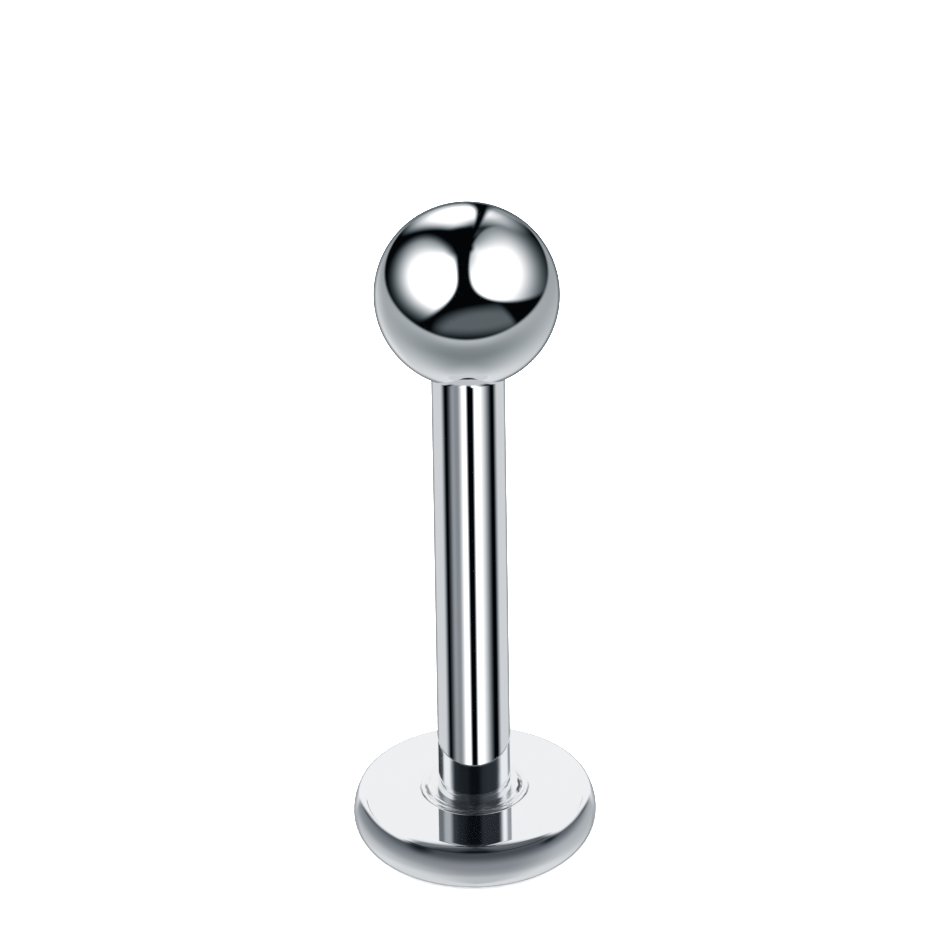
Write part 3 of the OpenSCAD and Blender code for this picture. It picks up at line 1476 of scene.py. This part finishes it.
@dataclass
class BaseDisc:
    """The flat base disc, with the weld that holds the bar on it."""

    sizes: StudSizes
    weld: WeldForm = WeldForm()
    low_edge: float = 0.45 * MM
    side_radius: float = 0.8 * MM
    top_edge: float = 0.18 * MM
    segments: int = 256

    def build(self, shop: SteelShop) -> bpy.types.Object:
        """Builds the disc from the middle of its foot to the top of the weld.

        Args:
            shop: gives the materials.

        Returns:
            The disc.
        """
        lathe = Lathe("base_disc", self.segments)
        self._disc(lathe)
        self._weld(lathe)
        disc = lathe.build(shop)
        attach(disc, "post")
        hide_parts("post")
        return disc

    def _disc(self, lathe: Lathe) -> None:
        """Traces the disc from the middle of its foot to the outside of the weld.

        Args:
            lathe: the body that it is turned on.
        """
        sizes, finish = self.sizes, Finish.DISC_POLISH
        foot = sizes.disc_radius - self.low_edge
        side_middle = sizes.disc_radius - self.side_radius
        rise = sizes.disc_height - self.top_edge - self.low_edge
        lean = math.asin(rise / (self.side_radius - self.top_edge))
        face = side_middle + (self.side_radius - self.top_edge) * math.cos(lean)
        lathe.start(0.0, 0.0)
        lathe.straight(foot, 0.0, finish, steps=6)
        lathe.arc((foot, self.low_edge), -90.0, 0.0, finish, steps=30)
        lathe.arc((side_middle, self.low_edge), 0.0, math.degrees(lean), finish, steps=16)
        lathe.arc((face, sizes.disc_height - self.top_edge), math.degrees(lean), 90.0, finish, steps=24)
        lathe.straight(sizes.bar_radius + self.weld.width, sizes.disc_height, finish, steps=8)

    def _weld(self, lathe: Lathe) -> None:
        """Traces the weld, from the disc's face to the bar and across under the bar.

        Args:
            lathe: the body that it is turned on.
        """
        sizes, weld = self.sizes, self.weld

        def surface(angles: np.ndarray, share: float) -> tuple[np.ndarray, np.ndarray]:
            """Traces the top of the weld.

            Args:
                angles: angles round the axis, in radians.
                share: share of the way in to the bar.

            Returns:
                The radius and height at each angle.
            """
            inset = weld.width * share
            radius = sizes.bar_radius + weld.width - inset
            return np.full_like(angles, radius), sizes.disc_height + weld.height(angles, inset, share)

        lathe.swept(surface, Finish.WELD_POLISH, steps=110)
        lathe.straight(0.0, sizes.disc_height + weld.rise, Finish.WELD_POLISH, steps=2)


@dataclass
class Bar:
    """The bar, from inside its weld to the tip of its threaded end."""

    sizes: StudSizes
    thread: ThreadForm
    shoulder_bevel: float = 0.04 * MM
    tip_bevel: float = 0.12 * MM
    weld_depth: float = 0.02 * MM
    thread_steps: int = 140
    segments: int = 256

    def build(self, shop: SteelShop) -> bpy.types.Object:
        """Builds the bar.

        Args:
            shop: gives the materials.

        Returns:
            The bar.
        """
        sizes = self.sizes
        lathe = Lathe("threaded_bar", self.segments)
        start = sizes.disc_height + self.weld_depth
        lathe.start(0.0, start)
        lathe.straight(sizes.bar_radius, start, Finish.BAR_POLISH, steps=2)
        lathe.straight(sizes.bar_radius, sizes.bar_high, Finish.BAR_POLISH, steps=24)
        shoulder = sizes.bar_high + self.shoulder_bevel
        lathe.straight(sizes.bar_radius - self.shoulder_bevel, shoulder, Finish.BAR_POLISH)
        self._threaded_end(lathe)
        bar = lathe.build(shop)
        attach(bar, "post")
        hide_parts("post")
        return bar

    def _threaded_end(self, lathe: Lathe) -> None:
        """Traces the neck, the thread and the bevelled tip.

        Args:
            lathe: the body that they are turned on.
        """
        sizes, thread, finish = self.sizes, self.thread, Finish.THREAD_SATIN
        shoulder = sizes.bar_high + self.shoulder_bevel
        core = thread.crest_radius - thread.depth
        lathe.straight(core, shoulder, finish, steps=2)
        lathe.straight(core, thread.low_end, finish, steps=2)

        def ridge(angles: np.ndarray, share: float) -> tuple[np.ndarray, np.ndarray]:
            """Gives the thread's radius and height at a share of the way up it."""
            height = thread.low_end + (thread.high_end - thread.low_end) * share
            return thread.radius(angles, height, fade=True), np.full_like(angles, height)

        lathe.swept(ridge, finish, steps=self.thread_steps)
        lathe.straight(core - self.tip_bevel, sizes.tip_height, finish, steps=2)
        lathe.straight(0.0, sizes.tip_height, finish, steps=3)


@dataclass
class Studio:
    """The pale floor, the soft light and the camera."""

    floor_half: float = 1.5
    floor_drop: float = 0.002 * MM
    floor_grey: float = 0.93
    sky_light: float = 4.5
    photo_pixels: float = 950.0
    pixels_per_mm: float = 61.555
    camera_distance: float = 180.0 * MM
    camera_elevation: float = 31.3
    camera_roll: float = -0.908
    aim_height: float = 5.5 * MM
    aim_pixel: tuple[float, float] = (470.77, 547.5)
    sensor: float = 36.0
    nearest: float = 0.01
    farthest: float = 20.0

    def build(self) -> None:
        """Builds the floor, the light and the camera."""
        self._floor()
        self._sky()
        self._camera()

    def _floor(self) -> None:
        """Makes the floor, which shows from above alone and which the steel does not mirror."""
        half, low = self.floor_half, -self.floor_drop
        mesh = bpy.data.meshes.new("floor")
        corners = [(-half, -half, low), (half, -half, low), (half, half, low), (-half, half, low)]
        mesh.from_pydata(corners, [], [(0, 1, 2, 3)])
        floor = bpy.data.objects.new("floor", mesh)
        bpy.context.scene.collection.objects.link(floor)
        floor.visible_glossy = False
        material = bpy.data.materials.new("floor_paper")
        material.use_nodes = True
        tree = material.node_tree
        shader = tree.nodes["Principled BSDF"]
        grey = self.floor_grey
        shader.inputs["Base Color"].default_value = (grey, grey, grey, 1)
        shader.inputs["Roughness"].default_value = 1.0
        shader.inputs["Specular IOR Level"].default_value = 0.0
        side = tree.nodes.new("ShaderNodeNewGeometry")
        clear = tree.nodes.new("ShaderNodeBsdfTransparent")
        mix = tree.nodes.new("ShaderNodeMixShader")
        tree.links.new(side.outputs["Backfacing"], mix.inputs[0])
        tree.links.new(shader.outputs[0], mix.inputs[1])
        tree.links.new(clear.outputs[0], mix.inputs[2])
        tree.links.new(mix.outputs[0], tree.nodes["Material Output"].inputs["Surface"])
        mesh.materials.append(material)

    def _sky(self) -> None:
        """Makes the soft even light: pale to the camera, dark to the steel's mirror."""
        world = bpy.data.worlds.new("studio_air")
        bpy.context.scene.world = world
        world.use_nodes = True
        tree = world.node_tree
        background = tree.nodes["Background"]
        path = tree.nodes.new("ShaderNodeLightPath")
        glossy = Wire(tree, path.outputs["Is Glossy Ray"])
        strength = glossy.rest() * self.sky_light
        tree.links.new(strength.socket, background.inputs["Strength"])
        background.inputs["Color"].default_value = (1, 1, 1, 1)

    def _camera(self) -> None:
        """Makes the camera at the photo's angle, aimed so that the stud lies where the photo has it."""
        camera = bpy.data.cameras.new("camera")
        holder = bpy.data.objects.new("camera", camera)
        bpy.context.scene.collection.objects.link(holder)
        tilt, roll = math.radians(self.camera_elevation), math.radians(self.camera_roll)
        forward = Vector((0, math.cos(tilt), -math.sin(tilt)))
        level, rise = Vector((1, 0, 0)), Vector((0, math.sin(tilt), math.cos(tilt)))
        right = level * math.cos(roll) + rise * math.sin(roll)
        up = rise * math.cos(roll) - level * math.sin(roll)
        middle = self.photo_pixels / 2
        aim = Vector((0, 0, self.aim_height))
        aim += right * ((middle - self.aim_pixel[0]) / self.pixels_per_mm * MM)
        aim += up * ((self.aim_pixel[1] - middle) / self.pixels_per_mm * MM)
        place = aim - forward * self.camera_distance
        turned = Matrix((right, up, -forward)).transposed().to_4x4()
        holder.matrix_world = Matrix.Translation(place) @ turned
        camera.sensor_width = self.sensor
        frame_width = self.photo_pixels / self.pixels_per_mm * MM
        camera.lens = self.sensor * self.camera_distance / frame_width
        camera.clip_start, camera.clip_end = self.nearest, self.farthest
        bpy.context.scene.camera = holder


def main() -> None:
    """Builds the stud's pieces, dresses them and sets up the studio."""
    logging.basicConfig(level=logging.INFO, format="%(name)s: %(message)s")
    bpy.context.scene.view_settings.view_transform = "Standard"
    sizes = StudSizes.from_frame()
    thread = ThreadForm.on_bar(sizes.bar_radius, shoulder=sizes.bar_high + Bar.shoulder_bevel,
                               bevel=sizes.tip_height - Bar.tip_bevel)
    shop = SteelShop(SurfaceGroups())
    ball = ScrewBall(sizes, thread).build(shop)
    disc = BaseDisc(sizes).build(shop)
    bar = Bar(sizes, thread).build(shop)
    ball_dome = Dome("ball_dome", radius=0.4, centre_height=sizes.ball_height, green_power=1.04)
    bar_dome = Dome("bar_dome", radius=0.04, centre_height=0.006)
    disc_dome = Dome("disc_dome", radius=0.42, centre_height=0.006)
    ball_dome.build(BallLight().glow, [ball])
    bar_dome.build(BarLight().glow, [bar])
    disc_dome.build(DiscLight().glow, [disc])
    Studio().build()


if __name__ == "__main__":
    main()
